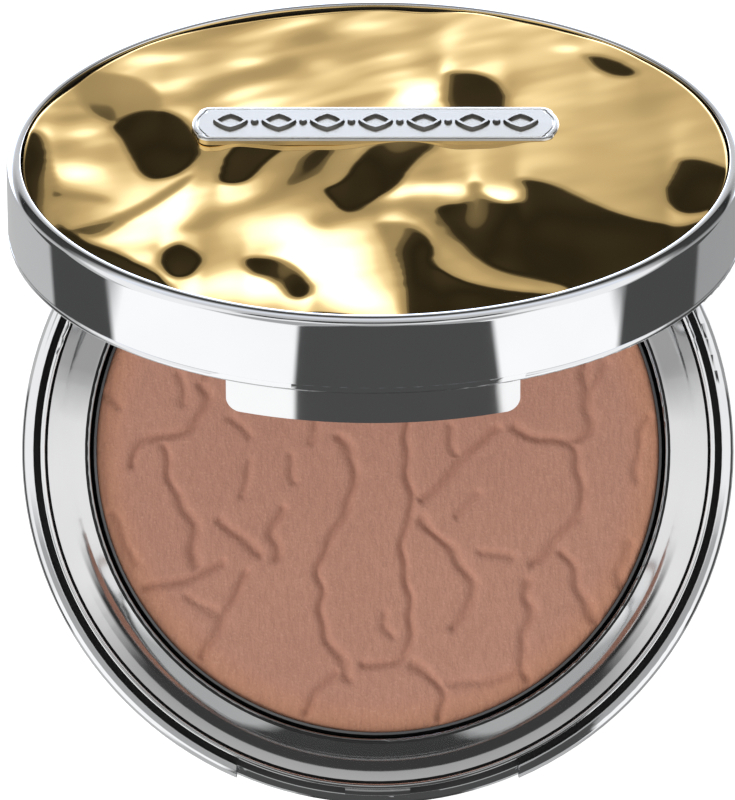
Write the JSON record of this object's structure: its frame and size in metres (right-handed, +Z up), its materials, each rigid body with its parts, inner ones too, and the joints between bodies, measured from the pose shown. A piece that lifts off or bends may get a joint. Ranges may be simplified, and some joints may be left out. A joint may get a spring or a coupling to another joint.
{
  "type": "powder compact",
  "caption": "Round pressed-powder compact with a chrome clamshell case, a hammered gold lid plate, a mirror inside the lid and a rear pin hinge.",
  "frame": {"origin": "centre of the base's foot, on the surface it rests on", "axes": "+Z up, +Y towards the hinge, the closing tab at -Y, +X to the right seen from the front; stored with the lid open 62 degrees"},
  "size_m": [0.0734, 0.0827, 0.0726],
  "materials": {
    "case_chrome": "polished",
    "trim_chrome": "polished",
    "bezel_metal": "satin",
    "pan_metal": "satin",
    "adhesive": "matte",
    "powder": "matte",
    "label_paper": "matte",
    "pin_steel": "satin",
    "mirror": "polished",
    "gold": "polished",
    "nameplate_metal": "satin"
  },
  "bodies": {
    "base": {"base_shell": "case_chrome", "pan_frame": "trim_chrome", "bezel_ring": "bezel_metal", "latch_catch": "trim_chrome", "powder_pan": "pan_metal", "pan_adhesive": "adhesive", "powder_cake": "powder", "base_label": "label_paper", "hinge_pin": "pin_steel"},
    "lid": {"lid_shell": "case_chrome", "mirror_frame": "trim_chrome", "mirror_glass": "mirror", "mirror_adhesive": "adhesive", "decor_plate": "gold", "decor_adhesive": "adhesive", "nameplate": "nameplate_metal", "nameplate_adhesive": "adhesive"}
  },
  "joints": [
    {"name": "lid_hinge", "type": "hinge", "parent": "base", "child": "lid", "pos_m": [0, 0.0346, 0.0041], "axis": [-1, 0, 0], "range_deg": [-62, 36]}
  ]
}
